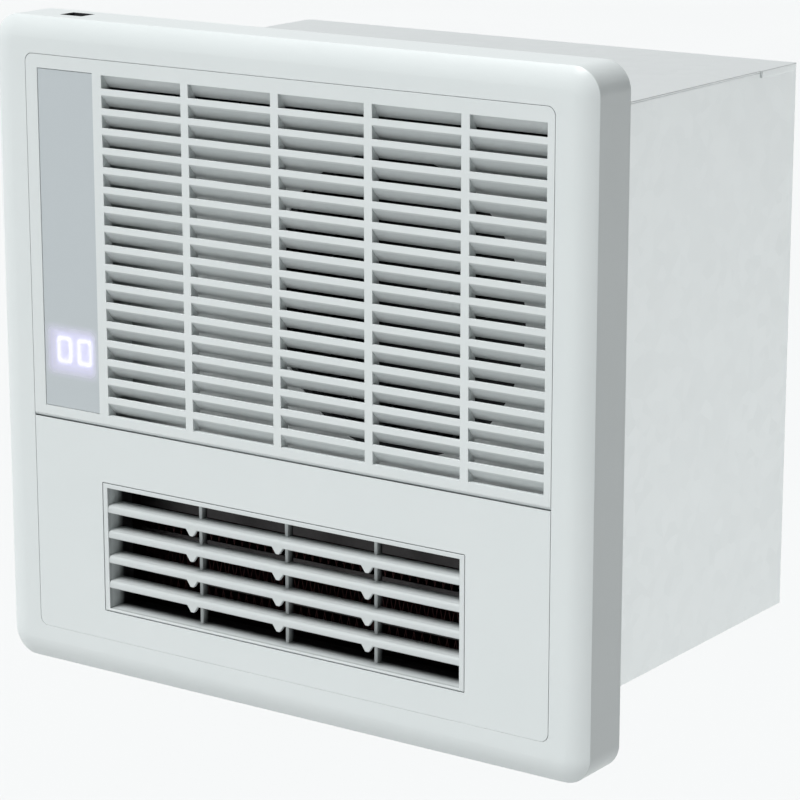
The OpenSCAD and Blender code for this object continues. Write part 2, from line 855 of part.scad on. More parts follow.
// Threaded brackets inside the case for the panel screws
module panel_brackets() {
    t = 1.2;
    wide = 20;
    reach = 14;
    color(zinc)
        for (s = [0, 1])
            for (z = [screw_low, screw_top])
                mirror([s, 0, 0])
                    difference() {
                        union() {
                            block([case_in_w / 2 - reach, case_in_w / 2], [case_front, case_front + t],
                                [z - wide / 2, z + wide / 2]);
                            block([case_in_w / 2 - t, case_in_w / 2], [case_front, plate_y - pass],
                                [z - wide / 2, z + wide / 2]);
                        }
                        rod_y([screw_x, case_front - over, z], t + 2 * over, screw_r + run);
                    }
}

// Light plate behind the louvres, with the round opening for the fan
module inlet_plate() {
    color(zinc)
        difference() {
            block([-case_in_w / 2, case_in_w / 2], [plate_y, plate_y + sheet], [shelf_z + sheet, plate_top]);
            rod_y([fan_x, plate_y - over, fan_z], sheet + 2 * over, inlet_r);
        }
}

// Inside of the scroll, grown outward by g: the spiral and its straight mouth
function scroll_r(a) = scroll_r0 + (scroll_r1 - scroll_r0) * (a - tongue_a) / (spiral_end - tongue_a);
mouth_left = fan_x - scroll_r1;
mouth_right = fan_x + scroll_r0 * cos(tongue_a);

module scroll_outline(g) {
    span = spiral_end - tongue_a;
    points = [for (i = [0 : spiral_steps]) let (a = tongue_a + span * i / spiral_steps, r = scroll_r(a) + g)
        [fan_x + r * cos(a), fan_z + r * sin(a)]];
    union() {
        polygon(concat([[fan_x, fan_z]], points));
        translate([fan_x, fan_z])
            circle(scroll_r0 + g);
        translate([mouth_left - g, shelf_z + sheet])
            square([mouth_right - mouth_left + 2 * g, fan_z - shelf_z - sheet]);
    }
}

// Fan housing: front wall with its mouth, and the spiral wall
module fan_scroll() {
    color(black_plastic)
        union() {
            facing()
                translate([0, 0, -scroll_back])
                    linear_extrude(scroll_d)
                        difference() {
                            scroll_outline(scroll_t);
                            scroll_outline(0);
                        }
            facing()
                translate([0, 0, -scroll_y - scroll_t])
                    linear_extrude(scroll_t)
                        difference() {
                            scroll_outline(scroll_t);
                            translate([fan_x, fan_z])
                                circle(mouth_r);
                        }
            // Ring that seats on the back of the inlet plate
            difference() {
                rod_y([fan_x, plate_y + sheet, fan_z], scroll_y - plate_y - sheet + 0.5, inlet_r + 3);
                rod_y([fan_x, plate_y, fan_z], scroll_y, mouth_r);
            }
        }
}

// Sheet cover at the rear of the scroll
cover_t = 1.5;
rubber_ring = 55;

module scroll_cover() {
    color(zinc)
        difference() {
            facing()
                translate([0, 0, -scroll_back - cover_t])
                    linear_extrude(cover_t)
                        scroll_outline(scroll_t);
            rod_y([fan_x, scroll_back - over, fan_z], cover_t + 2 * over, shaft_r + 6);
            for (a = [30, 150, 270])
                rod_y([fan_x + rubber_ring * cos(a), scroll_back - over, fan_z + rubber_ring * sin(a)],
                    cover_t + 2 * over, motor_screw_r + run);
        }
}

// Fan wheel: rear disc, front ring, hub and slanted blades
hub_r = 13;
hub_l = 22;

module fan_wheel() {
    ring_t = 2.5;
    disc_t = 2;
    color(black_plastic)
        translate([fan_x, wheel_y, fan_z])
            rotate([-90, 0, 0])
                difference() {
                    union() {
                        difference() {
                            cylinder(h = ring_t, r = wheel_r);
                            translate([0, 0, -over])
                                cylinder(h = ring_t + 2 * over, r = wheel_r - blade_d * 0.7);
                        }
                        translate([0, 0, wheel_w - disc_t])
                            cylinder(h = disc_t, r = wheel_r);
                        translate([0, 0, wheel_w - hub_l])
                            cylinder(h = hub_l, r = hub_r);
                        for (i = [0 : blades - 1])
                            rotate(i * 360 / blades)
                                translate([wheel_r - blade_d / 2 - 0.4, 0, 0])
                                    rotate(blade_slant)
                                        translate([-blade_d * 0.55, -blade_t / 2, 0.5])
                                            cube([blade_d * 1.1, blade_t, wheel_w - 1]);
                    }
                    translate([0, 0, wheel_w - hub_l - over])
                        cylinder(h = hub_l + 2 * over, r = shaft_r + 0.02);
                }
}

shaft_front = wheel_y + wheel_w - hub_l - 7;
shaft_rear = motor_y + motor_l + 4;

module fan_shaft() {
    color("#B9BDC0")
        rod_y([fan_x, shaft_front, fan_z], shaft_rear - shaft_front, shaft_r);
}

module wheel_nut() {
    nut_t = 5;
    color("#B9BDC0")
        difference() {
            translate([fan_x, wheel_y + wheel_w - hub_l - nut_t, fan_z])
                rotate([-90, 0, 0])
                    cylinder(h = nut_t, r = 8, $fn = 6);
            rod_y([fan_x, wheel_y, fan_z], wheel_w, shaft_r + 0.02);
        }
}

// Motor levels
bell_t = 6;
core_y = motor_y + bell_t + 13;
bush_r = 8;
bush_l = 8;

module rotor_core() {
    color(dark_metal)
        difference() {
            rod_y([fan_x, core_y, fan_z], core_l, rotor_r);
            rod_y([fan_x, core_y - over, fan_z], core_l + 2 * over, shaft_r + 0.02);
        }
}

// Deep-drawn motor housing with the rear bearing seat
module motor_housing() {
    t = 2;
    color("#8D9295")
        difference() {
            rod_y([fan_x, motor_y + bell_t, fan_z], motor_l - bell_t, motor_r);
            rod_y([fan_x, motor_y + bell_t - over, fan_z], motor_l - bell_t - t + over, motor_r - t);
            rod_y([fan_x, motor_y, fan_z], motor_l + over, bush_r + run);
        }
}

module motor_cap() {
    color("#8D9295")
        difference() {
            rod_y([fan_x, motor_y, fan_z], bell_t, motor_r);
            rod_y([fan_x, motor_y - over, fan_z], bell_t + 2 * over, bush_r + run);
        }
}

module motor_bushes() {
    color(copper)
        for (y = [motor_y + 0.5, motor_y + motor_l - bush_l + 2])
            difference() {
                rod_y([fan_x, y, fan_z], bush_l, bush_r);
                rod_y([fan_x, y - over, fan_z], bush_l + 2 * over, shaft_r + run);
            }
}

module stator_core() {
    color(dark_metal)
        difference() {
            rod_y([fan_x, core_y, fan_z], core_l, motor_r - 2 - run);
            rod_y([fan_x, core_y - over, fan_z], core_l + 2 * over, rotor_r + 0.5);
        }
}

module stator_coils() {
    coil_l = 8;
    color(copper)
        for (y = [core_y - coil_l, core_y + core_l])
            difference() {
                rod_y([fan_x, y, fan_z], coil_l, motor_r - 6);
                rod_y([fan_x, y - over, fan_z], coil_l + 2 * over, rotor_r + 2);
            }
}

bracket_t = 2;
motor_screw_r = 2;

// Three-armed plate between the motor and its rubber mounts
module motor_bracket() {
    color(zinc)
        difference() {
            union() {
                rod_y([fan_x, motor_y - bracket_t, fan_z], bracket_t, motor_r - 4);
                for (a = [30, 150, 270])
                    translate([fan_x, motor_y - bracket_t, fan_z])
                        rotate([0, -a, 0]) {
                            block([0, rubber_ring], [0, bracket_t], [-rubber_r, rubber_r]);
                            rod_y([rubber_ring, 0, 0], bracket_t, rubber_r);
                        }
            }
            rod_y([fan_x, motor_y - bracket_t - over, fan_z], bracket_t + 2 * over, shaft_r + 6);
            for (a = [30, 150, 270])
                rod_y([fan_x + rubber_ring * cos(a), motor_y - bracket_t - over,
                    fan_z + rubber_ring * sin(a)], bracket_t + 2 * over, motor_screw_r + run);
        }
}

module motor_rubbers() {
    low = scroll_back + cover_t;
    color(rubber_grey)
        for (a = [30, 150, 270])
            difference() {
                rod_y([fan_x + rubber_ring * cos(a), low, fan_z + rubber_ring * sin(a)],
                    motor_y - bracket_t - low, rubber_r);
                rod_y([fan_x + rubber_ring * cos(a), low - over, fan_z + rubber_ring * sin(a)],
                    motor_gap + 2 * over, motor_screw_r + run);
            }
}

module motor_screws() {
    color(dark_metal)
        for (a = [30, 150, 270])
            translate([fan_x + rubber_ring * cos(a), 0, fan_z + rubber_ring * sin(a)])
                union() {
                    rod_y([0, motor_y, 0], 2.6, 3.8);
                    rod_y([0, scroll_back - 3, 0], motor_gap + 4, motor_screw_r);
                }
}

// Where the flap's edges come to rest under the shelf
seal_pad = 1.5;
stop_rear = flap_y + flap_l * sin(flap_lean) + (flap_t / 2 + seal_pad) * cos(flap_lean) + pass;
stop_front = flap_y - flap_l * sin(flap_swing - flap_lean)
    - (flap_t / 2 + seal_pad) * cos(flap_swing - flap_lean) - pass;

// Shelf that parts the fan's space from the air ways, with its two stop lips
module divider_shelf() {
    stop_h = 14;
    color(zinc)
        difference() {
            union() {
                block([-case_in_w / 2, case_in_w / 2], [plate_y, case_d - lip - pass],
                    [shelf_z, shelf_z + sheet]);
                for (y = [stop_rear, stop_front - sheet])
                    block([channel_left, channel_right], [y, y + sheet], [shelf_z - stop_h, shelf_z]);
            }
            block([mouth_left, mouth_right], [scroll_y + scroll_t, scroll_back],
                [shelf_z - over, shelf_z + sheet + over]);
        }
}

// Bent channel that leads the air to the heater, with the flap's bearings in its sides
module air_channel() {
    foot = 8;
    color(zinc)
        difference() {
            union() {
                block([channel_left - sheet, channel_right + sheet], [heater_y, channel_back],
                    [-case_in_h / 2, -case_in_h / 2 + sheet]);
                for (x = [channel_left - sheet, channel_right])
                    block([x, x + sheet], [heater_y, channel_back], [-case_in_h / 2, shelf_z]);
                block([channel_left - sheet - foot, channel_left], [plate_y, channel_back],
                    [shelf_z - sheet, shelf_z]);
                block([channel_right, channel_right + sheet + foot], [plate_y, channel_back],
                    [shelf_z - sheet, shelf_z]);
            }
            rod_x([channel_left - sheet - over, flap_y, flap_z], channel_w + 2 * sheet + 2 * over,
                flap_bush_r + run);
        }
}

// Sleeve between the outlet grille and the heater
module outlet_sleeve() {
    t = 1.5;
    color(dark_metal)
        difference() {
            block([channel_left, channel_right], [-front_f + outlet_d, heater_y],
                [heater_bottom - 1, outlet_top + 1]);
            block([channel_left + t, channel_right - t], [-front_f + outlet_d - over, heater_y + over],
                [heater_bottom - 1 + t, outlet_top + 1 - t]);
        }
}

heater_in_left = channel_left + heater_frame_t;
heater_in_right = channel_right - heater_frame_t;
heater_in_bottom = heater_bottom + heater_frame_t;
heater_in_top = heater_top - heater_frame_t;
fin_h = (heater_in_top - heater_in_bottom - heater_bars * heater_bar_h) / (heater_bars + 1);

// Frame of the heater, standing on the channel's floor
module heater_frame() {
    color(dark_metal)
        difference() {
            union() {
                block([channel_left, channel_right], [heater_y, heater_y + heater_d],
                    [heater_bottom, heater_top]);
                block([channel_left, channel_right],
                    [heater_y + heater_d - heater_frame_t, heater_y + heater_d],
                    [-case_in_h / 2 + sheet, heater_bottom]);
            }
            block([heater_in_left, heater_in_right], [heater_y - over, heater_y + heater_d + over],
                [heater_in_bottom, heater_in_top]);
        }
}

// Ceramic heating bars in their metal tubes
module heater_bars_set() {
    color("#8A8F93")
        for (i = [0 : heater_bars - 1])
            block([heater_in_left, heater_in_right], [heater_y + 2, heater_y + heater_d - 2],
                [heater_in_bottom + fin_h + i * (fin_h + heater_bar_h),
                    heater_in_bottom + (i + 1) * (fin_h + heater_bar_h)]);
}

// Folded fin strips above, between and below the bars
module heater_fins() {
    gap = 0.1;
    low = gap + fin_t;
    high = fin_h - gap - fin_t;
    width = heater_in_right - heater_in_left - 4;
    pitch = width / fin_folds;
    path = [for (i = [0 : 2 * fin_folds]) [i * pitch / 2, i % 2 == 0 ? low : high]];
    color("#6E5A50")
        for (k = [0 : heater_bars])
            translate([heater_in_left + 2, heater_y + heater_d - 2,
                heater_in_bottom + k * (fin_h + heater_bar_h)])
                facing()
                    linear_extrude(heater_d - 4)
                        polygon(concat([for (p = path) p + [0, fin_t]],
                            [for (i = [2 * fin_folds : -1 : 0]) path[i] - [0, fin_t]]));
}

// Round cut-outs on the channel's side
module thermal_cutouts() {
    color(black_plastic)
        for (z = [heater_bottom + 24, heater_top - 22])
            union() {
                rod_x([channel_right + sheet, heater_y + 14, z], 6, 8);
                rod_x([channel_right + sheet, heater_y + 14, z], 10, 4);
                block([channel_right + sheet, channel_right + sheet + 1], [heater_y + 3, heater_y + 25],
                    [z - 4, z + 4]);
            }
}

flap_bush_r = 5;
flap_side = 1.6;

// Turns a drawing so that its upward axis lies along the flap at rest
module along_flap() {
    translate([0, flap_y, flap_z])
        rotate([-flap_lean, 0, 0])
            children();
}

module changeover_flap() {
    hub = flap_shaft_r + 2;
    color("#C2C8C8")
        along_flap()
            difference() {
                union() {
                    block([channel_left + flap_side, channel_right - flap_side],
                        [-flap_t / 2, flap_t / 2], [0, flap_l]);
                    rod_x([channel_left + flap_side, 0, 0], channel_w - 2 * flap_side, hub);
                }
                rod_x([channel_left, 0, 0], channel_w, flap_shaft_r + 0.02);
            }
}

module flap_shaft() {
    color("#B9BDC0")
        rod_x([channel_left - sheet - 12, flap_y, flap_z], channel_w + 2 * sheet + 15, flap_shaft_r);
}

// Foam strips on both faces of the flap's free edge
module flap_seal() {
    pad_h = 11;
    color(rubber_grey)
        along_flap()
            for (y = [[-flap_t / 2 - seal_pad, -flap_t / 2], [flap_t / 2, flap_t / 2 + seal_pad]])
                block([channel_left + flap_side + 1, channel_right - flap_side - 1], y,
                    [flap_l - pad_h, flap_l]);
}

module flap_bushes() {
    color("#E4E2DA")
        for (s = [0, 1])
            translate([outlet_x, 0, 0])
                mirror([s, 0, 0])
                    difference() {
                        union() {
                            rod_x([channel_w / 2, flap_y, flap_z], sheet, flap_bush_r);
                            rod_x([channel_w / 2 - 1, flap_y, flap_z], 1, flap_bush_r + 2);
                        }
                        rod_x([channel_w / 2 - 2, flap_y, flap_z], sheet + 4, flap_shaft_r + run);
                    }
}

// Small geared motor that turns the flap
module flap_motor() {
    body_r = 22;
    body_l = 19;
    off = 14;
    left = channel_left - sheet - body_l;
    color("#A7ACAE")
        difference() {
            union() {
                rod_x([left, flap_y, flap_z + off], body_l, body_r);
                block([channel_left - sheet - 1.2, channel_left - sheet], [flap_y - 30, flap_y + 30],
                    [flap_z + off - 5, flap_z + off + 5]);
            }
            rod_x([channel_left - sheet - 14, flap_y, flap_z], 16, flap_shaft_r + run);
        }
}

collar_hole = 45;
collar_screw_r = 1.75;
vent_x = -case_w / 2 - 6;
vent_z = collar_z + vent_h;
vent_gap = 1.4;

// Spigot for the exhaust duct
module duct_collar() {
    plate = 2.5;
    half = collar_hole + 7;
    inner_r = collar_r - collar_t;
    stop_w = 3;
    stop_t = 1.5;
    stop_gap = 4;
    color("#D9DCDC")
        difference() {
            union() {
                difference() {
                    union() {
                        rod_x([-case_w / 2 - collar_l, collar_y, collar_z], collar_l, collar_r);
                        block([-case_w / 2 - plate, -case_w / 2], [collar_y - half, collar_y + half],
                            [collar_z - half, collar_z + half]);
                    }
                    rod_x([-case_w / 2 - collar_l - over, collar_y, collar_z], collar_l + 2 * over, inner_r);
                }
                // Seats that stop the backdraught flap, below the hinge inside and above it outside
                for (s = [1, -1])
                    difference() {
                        rod_x([vent_x + s * (vent_t / 2 + pass + stop_t / 2) - stop_t / 2, collar_y,
                            collar_z], stop_t, inner_r + bite);
                        rod_x([vent_x - collar_r, collar_y, collar_z], 2 * collar_r, inner_r - stop_w);
                        block([vent_x - collar_r, vent_x + collar_r],
                            [collar_y - collar_r, collar_y + collar_r],
                            s > 0 ? [vent_z - stop_gap, vent_z + collar_r]
                                : [vent_z - 2 * collar_r, vent_z + stop_gap]);
                    }
            }
            rod_y([vent_x, collar_y - collar_r - over, vent_z], 2 * collar_r + 2 * over, vent_pin_r + run);
            for (y = [-collar_hole, collar_hole])
                for (z = [-collar_hole, collar_hole])
                    rod_x([-case_w / 2 - plate - over, collar_y + y, collar_z + z], plate + 2 * over,
                        collar_screw_r + run);
        }
}

module collar_screws() {
    plate = 2.5;
    color(dark_metal)
        for (y = [-collar_hole, collar_hole])
            for (z = [-collar_hole, collar_hole])
                translate([-case_w / 2 - plate, collar_y + y, collar_z + z])
                    union() {
                        rod_x([-2, 0, 0], 2, 3.4);
                        rod_x([-1, 0, 0], plate + sheet + 5, collar_screw_r);
                    }
}

// Round flap that hangs in the collar on its two pins
module backdraught_flap() {
    disc_r = collar_r - collar_t - vent_gap;
    pin_reach = collar_r - bite;
    pin_half = sqrt(pin_reach * pin_reach - vent_h * vent_h);
    color("#D9DCDC")
        union() {
            rod_x([vent_x - vent_t / 2, collar_y, collar_z], vent_t, disc_r);
            rod_y([vent_x, collar_y - pin_half, vent_z], 2 * pin_half, vent_pin_r);
        }
}

gland_thread_r = 8;

module cable_gland() {
    color(black_plastic)
        difference() {
            union() {
                translate([-case_w / 2 - 6, gland_y, gland_z])
                    rotate([0, 90, 0])
                        cylinder(h = 6, r = 12, $fn = 6);
                rod_x([-case_w / 2 - 18, gland_y, gland_z], 13, 10);
                rod_x([-case_w / 2 - 1, gland_y, gland_z], 11, gland_thread_r);
            }
            rod_x([-case_w / 2 - 20, gland_y, gland_z], 34, gland_bore);
        }
}

module gland_nut() {
    color(black_plastic)
        difference() {
            translate([-case_in_w / 2, gland_y, gland_z])
                rotate([0, 90, 0])
                    cylinder(h = 5, r = 12, $fn = 6);
            rod_x([-case_w / 2, gland_y, gland_z], 10, gland_thread_r + run);
        }
}

// Electronics behind the inlet plate, beside the scroll
tray_x = [-case_in_w / 2 + 3, -case_in_w / 2 + 3 + tray_w];
tray_z = [shelf_z + sheet + 3, shelf_z + sheet + 3 + tray_h];
tray_front = plate_y + sheet;
tray_wall = 2;
post_l = 6;

module control_tray() {
    color("#E4E2DA")
        union() {
            difference() {
                block(tray_x, [tray_front, tray_front + tray_d], tray_z);
                block([tray_x[0] + tray_wall, tray_x[1] - tray_wall],
                    [tray_front + tray_wall, tray_front + tray_d + over],
                    [tray_z[0] + tray_wall, tray_z[1] - tray_wall]);
            }
            for (x = [tray_x[0] + 9, tray_x[1] - 9])
                for (z = [tray_z[0] + 9, tray_z[1] - 9])
                    rod_y([x, tray_front + 1, z], tray_wall - 1 + post_l, 3);
        }
}

board_y = tray_front + tray_wall + post_l;

module control_board() {
    color(board_green)
        block([tray_x[0] + 4, tray_x[1] - 4], [board_y, board_y + board_t], [tray_z[0] + 4, tray_z[1] - 4]);
}

// Relays, transformer, fuse and plugs on the board
module board_parts() {
    y = board_y + board_t;
    x = tray_x[0] + 10;
    z = tray_z[0] + 12;
    color("#2E4C78")
        union() {
            for (i = [0 : 3])
                block([x + 4, x + 20], [y, y + 15], [z + i * 22, z + i * 22 + 18]);
            block([x + 30, x + 62], [y, y + 20], [z + 96, z + 128]);
            block([x + 30, x + 60], [y, y + 8], [z + 8, z + 16]);
            block([x + 30, x + 60], [y, y + 8], [z + 24, z + 32]);
            rod_x([x + 30, y + 4, z + 50], 22, 3.5);
            for (i = [0 : 1])
                rod_y([x + 38 + i * 18, y, z + 74], 16, 6);
            block([x + 4, x + 22], [y, y + 6], [z + 104, z + 122]);
        }
}

module control_cover() {
    color(zinc)
        block(tray_x, [tray_front + tray_d, tray_front + tray_d + 1], tray_z);
}

module terminal_block() {
    ways = 5;
    pitch = 10;
    base = gland_z + 22;
    color("#2B2D2F")
        difference() {
            block([-case_in_w / 2, -case_in_w / 2 + 14],
                [gland_y - ways * pitch / 2, gland_y + ways * pitch / 2],
                [base, base + 20]);
            for (i = [0 : ways - 1])
                for (z = [base + 5, base + 15])
                    rod_x([-case_in_w / 2 + 8, gland_y + (i - (ways - 1) / 2) * pitch, z], 8, 2.6);
        }
}

cap_r = 15;
cap_y = 75;
cap_x = tray_x[0] + 10;
clip_t = 1.2;
cap_z = case_in_h / 2 - clip_t - cap_r - 0.1;

module run_capacitor() {
    color("#3F4A57")
        union() {
            rod_x([cap_x, cap_y, cap_z], 44, cap_r);
            for (y = [-5, 5])
                block([cap_x + 43, cap_x + 52], [cap_y + y - 0.4, cap_y + y + 0.4], [cap_z - 3, cap_z + 3]);
        }
}

// Strap that holds the capacitor under the case's top
module capacitor_clip() {
    wide = 14;
    color(zinc)
        translate([cap_x + 14, 0, 0])
            difference() {
                union() {
                    rod_x([0, cap_y, cap_z], wide, cap_r + 0.1 + clip_t);
                    block([0, wide], [cap_y - 26, cap_y + 26], [case_in_h / 2 - clip_t, case_in_h / 2]);
                }
                rod_x([-over, cap_y, cap_z], wide + 2 * over, cap_r + 0.1);
                block([-over, wide + over], [cap_y - 30, cap_y + 30], [case_in_h / 2, case_in_h / 2 + 3]);
            }
}

front_frame();
outlet_panel();
outlet_grille();
door_catches();
frame_screws();
intake_door();
display_window();
display_holder();
display_board();
digit_module();
digit_segments();
case_top();
case_left();
case_right();
case_bottom();
case_flange();
case_back();
wall_seal();
panel_brackets();
inlet_plate();
fan_scroll();
scroll_cover();
fan_wheel();
fan_shaft();
wheel_nut();
rotor_core();
motor_housing();
motor_cap();
motor_bushes();
stator_core();
stator_coils();
motor_bracket();
motor_rubbers();
motor_screws();
divider_shelf();
air_channel();
outlet_sleeve();
heater_frame();
heater_bars_set();
heater_fins();
thermal_cutouts();
changeover_flap();
flap_shaft();
flap_seal();
flap_bushes();
flap_motor();
duct_collar();
collar_screws();
backdraught_flap();
control_tray();
control_board();
board_parts();
control_cover();
terminal_block();
run_capacitor();
capacitor_clip();
cable_gland();
gland_nut();
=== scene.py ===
import math
import bpy
import bmesh
from mathutils import Matrix, Vector


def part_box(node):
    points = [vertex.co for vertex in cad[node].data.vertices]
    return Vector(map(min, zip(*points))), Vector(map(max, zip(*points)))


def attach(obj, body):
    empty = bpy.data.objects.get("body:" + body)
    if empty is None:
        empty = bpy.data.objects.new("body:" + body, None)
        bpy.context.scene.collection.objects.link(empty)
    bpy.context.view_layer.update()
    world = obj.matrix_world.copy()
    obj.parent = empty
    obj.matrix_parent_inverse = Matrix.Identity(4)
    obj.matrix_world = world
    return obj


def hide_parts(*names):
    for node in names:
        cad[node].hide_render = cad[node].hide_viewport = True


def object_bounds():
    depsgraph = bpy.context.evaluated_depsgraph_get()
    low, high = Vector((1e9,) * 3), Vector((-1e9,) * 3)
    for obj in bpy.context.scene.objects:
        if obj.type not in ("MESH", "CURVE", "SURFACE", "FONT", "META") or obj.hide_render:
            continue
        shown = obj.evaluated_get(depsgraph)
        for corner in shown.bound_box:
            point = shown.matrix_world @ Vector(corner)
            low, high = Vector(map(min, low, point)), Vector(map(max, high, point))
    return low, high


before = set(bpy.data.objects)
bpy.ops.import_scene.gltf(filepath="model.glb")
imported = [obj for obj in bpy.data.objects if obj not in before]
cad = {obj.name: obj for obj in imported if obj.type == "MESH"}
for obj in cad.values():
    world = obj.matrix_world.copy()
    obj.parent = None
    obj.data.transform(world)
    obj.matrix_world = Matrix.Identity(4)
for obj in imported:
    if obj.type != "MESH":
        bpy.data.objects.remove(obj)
cadLow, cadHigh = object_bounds()
mm = 0.001
print("frame loaded:", len(cad), "nodes")

# camera at the photo's angle, fitted to the front's corners, seams and slots
cameraSetup = {
    "place": (1.0017, -1.3492, 0.4059),
    "azimuth": 34.98,
    "elevation": 14.05,
    "lens": 140.5,
    "sensor": 36,
    "clip": (0.05, 200),
}
turn, rise = math.radians(cameraSetup["azimuth"]), math.radians(cameraSetup["elevation"])
backward = Vector((math.sin(turn) * math.cos(rise), -math.cos(turn) * math.cos(rise), math.sin(rise)))
cameraData = bpy.data.cameras.new("camera")
cameraData.lens = cameraSetup["lens"]
cameraData.sensor_width = cameraSetup["sensor"]
cameraData.clip_start, cameraData.clip_end = cameraSetup["clip"]
camera = bpy.data.objects.new("camera", cameraData)
camera.location = cameraSetup["place"]
camera.rotation_euler = (-backward).to_track_quat("-Z", "Y").to_euler()
bpy.context.scene.collection.objects.link(camera)
bpy.context.scene.camera = camera
bpy.context.scene.view_settings.view_transform = "Standard"
print("camera placed")

# real sizes of the patterns; what is too fine to show is drawn as coarse as it needs to be
patternSize = {
    "absGrain": 0.7 * mm,
    "absCloud": 70 * mm,
    "zincStreak": 120 * mm,
    "zincRipple": 40 * mm,
    "orangePeel": 1.6 * mm,
    "boardTrack": 14 * mm,
    "casingPatch": 26 * mm,
    "casingGrain": 0.6 * mm,
    "ledCloud": 3 * mm,
    "acrylicCloud": 6 * mm,
    "paperCloud": 900 * mm,
}
mixFirst, mixSecond, mixResult = 6, 7, 2  # a Mix node's sockets for colours
wavePitch = 0.314  # a Wave texture of scale 1 repeats after this length


def linearColour(text):
    parts = [int(text[i:i + 2], 16) / 255 for i in (1, 3, 5)]
    return [p / 12.92 if p <= 0.04045 else ((p + 0.055) / 1.055) ** 2.4 for p in parts] + [1.0]


def addNode(tree, kind, settings=None, links=None):
    # a key that names or numbers an input sets it, any other one is the node's own setting
    made = tree.nodes.new(kind)
    for key, value in (settings or {}).items():
        if isinstance(key, int) or key in made.inputs:
            made.inputs[key].default_value = value
        else:
            setattr(made, key, value)
    for key, source in (links or {}).items():
        tree.links.new(source, made.inputs[key])
    return made


def startMaterial(name, colour, **settings):
    made = bpy.data.materials.new(name)
    made.use_nodes = True
    tree = made.node_tree
    tree.nodes.clear()
    shader = addNode(tree, "ShaderNodeBsdfPrincipled", {"Base Color": linearColour(colour), **settings})
    addNode(tree, "ShaderNodeOutputMaterial", links={"Surface": shader.outputs[0]})
    coords = addNode(tree, "ShaderNodeTexCoord").outputs["Object"]
    return made, tree, shader, coords


def mixTwo(tree, shader, first, second, factor, socket="Base Color"):
    tones = {"data_type": "RGBA", mixFirst: linearColour(first), mixSecond: linearColour(second)}
    mix = addNode(tree, "ShaderNodeMix", tones, {0: factor})
    tree.links.new(mix.outputs[mixResult], shader.inputs[socket])


def addBump(tree, shader, height, strength, depth):
    bump = addNode(tree, "ShaderNodeBump", {"Strength": strength, "Distance": depth}, {"Height": height})
    tree.links.new(bump.outputs[0], shader.inputs["Normal"])


def spreadRoughness(tree, shader, source, low, high):
    span = addNode(tree, "ShaderNodeMapRange", {"To Min": low, "To Max": high}, {"Value": source})
    tree.links.new(span.outputs[0], shader.inputs["Roughness"])


def setStops(ramp, stops):
    # a new ramp has two marks, which take the first and the last stop
    marks = ramp.color_ramp.elements
    for mark, (place, tone) in zip(marks, (stops[0], stops[-1])):
        mark.position = place
        mark.color = linearColour(tone)
    for place, tone in stops[1:-1]:
        marks.new(place).color = linearColour(tone)


def mouldedAbs(name, colour, shade, roughness):
    # ABS moulded in a lightly textured tool: soft satin gloss, a faint grain and hardly any change of tone
    made, tree, shader, coords = startMaterial(name, colour, Roughness=roughness, IOR=1.52)
    grain = addNode(tree, "ShaderNodeTexNoise", {"Scale": 1 / patternSize["absGrain"], "Detail": 2.0},
                    {"Vector": coords})
    cloud = addNode(tree, "ShaderNodeTexNoise", {"Scale": 1 / patternSize["absCloud"], "Detail": 1.0},
                    {"Vector": coords})
    mixTwo(tree, shader, colour, shade, cloud.outputs[0])
    spreadRoughness(tree, shader, grain.outputs[0], roughness - 0.04, roughness + 0.05)
    addBump(tree, shader, grain.outputs[0], strength=0.06, depth=0.05 * mm)
    return made


def paintedDepthShadeAbs(name, roughness, tones):
    # the same moulding with a tone for each depth: painted shade and painted light on its lips, slopes and
    # inside
    made = mouldedAbs(name, "#FFFFFF", "#F8F9F9", roughness)
    tree = made.node_tree
    shader = next(node for node in tree.nodes if node.type == "BSDF_PRINCIPLED")
    coords = addNode(tree, "ShaderNodeTexCoord").outputs["Object"]
    apart = addNode(tree, "ShaderNodeSeparateXYZ", links={"Vector": coords})
    first, last = tones[0][0], tones[-1][0]
    depth = addNode(tree, "ShaderNodeMapRange", {"From Min": first * mm, "From Max": last * mm},
                    {"Value": apart.outputs[1]})
    ramp = addNode(tree, "ShaderNodeValToRGB", links={"Fac": depth.outputs[0]})
    setStops(ramp, [((y - first) / (last - first), tone) for y, tone in tones])
    white = shader.inputs["Base Color"].links[0].from_socket
    shadedTone = addNode(tree, "ShaderNodeMix", {"data_type": "RGBA", "blend_type": "MULTIPLY", 0: 1.0},
                    {mixFirst: white, mixSecond: ramp.outputs[0]})
    tree.links.new(shadedTone.outputs[mixResult], shader.inputs["Base Color"])
    return made


zincLook = {"metallic": 0.85, "crystalContrast": 0.35}


def sheetMetal(name, light, dark, low, high, spangle):
    # hot-dip galvanised sheet, skin-passed: bright smooth zinc with hardly visible crystals
    made, tree, shader, coords = startMaterial(name, light, Metallic=zincLook["metallic"])
    crystals = addNode(tree, "ShaderNodeTexVoronoi", {"Scale": 1 / spangle}, {"Vector": coords})
    tone = addNode(tree, "ShaderNodeRGBToBW", links={"Color": crystals.outputs["Color"]})
    streak = addNode(tree, "ShaderNodeTexNoise", {"Scale": 1 / patternSize["zincStreak"], "Detail": 2.0},
                     {"Vector": coords})
    both = addNode(tree, "ShaderNodeMath", {"operation": "MULTIPLY"},
                   {0: tone.outputs[0], 1: streak.outputs[0]})
    faint = addNode(tree, "ShaderNodeMath", {"operation": "MULTIPLY", 1: zincLook["crystalContrast"]},
                    {0: both.outputs[0]})
    mixTwo(tree, shader, light, dark, faint.outputs[0])
    spreadRoughness(tree, shader, tone.outputs[0], low, high)
    ripple = addNode(tree, "ShaderNodeTexNoise", {"Scale": 1 / patternSize["zincRipple"]}, {"Vector": coords})
    addBump(tree, shader, ripple.outputs[0], strength=0.12, depth=0.3 * mm)
    return made


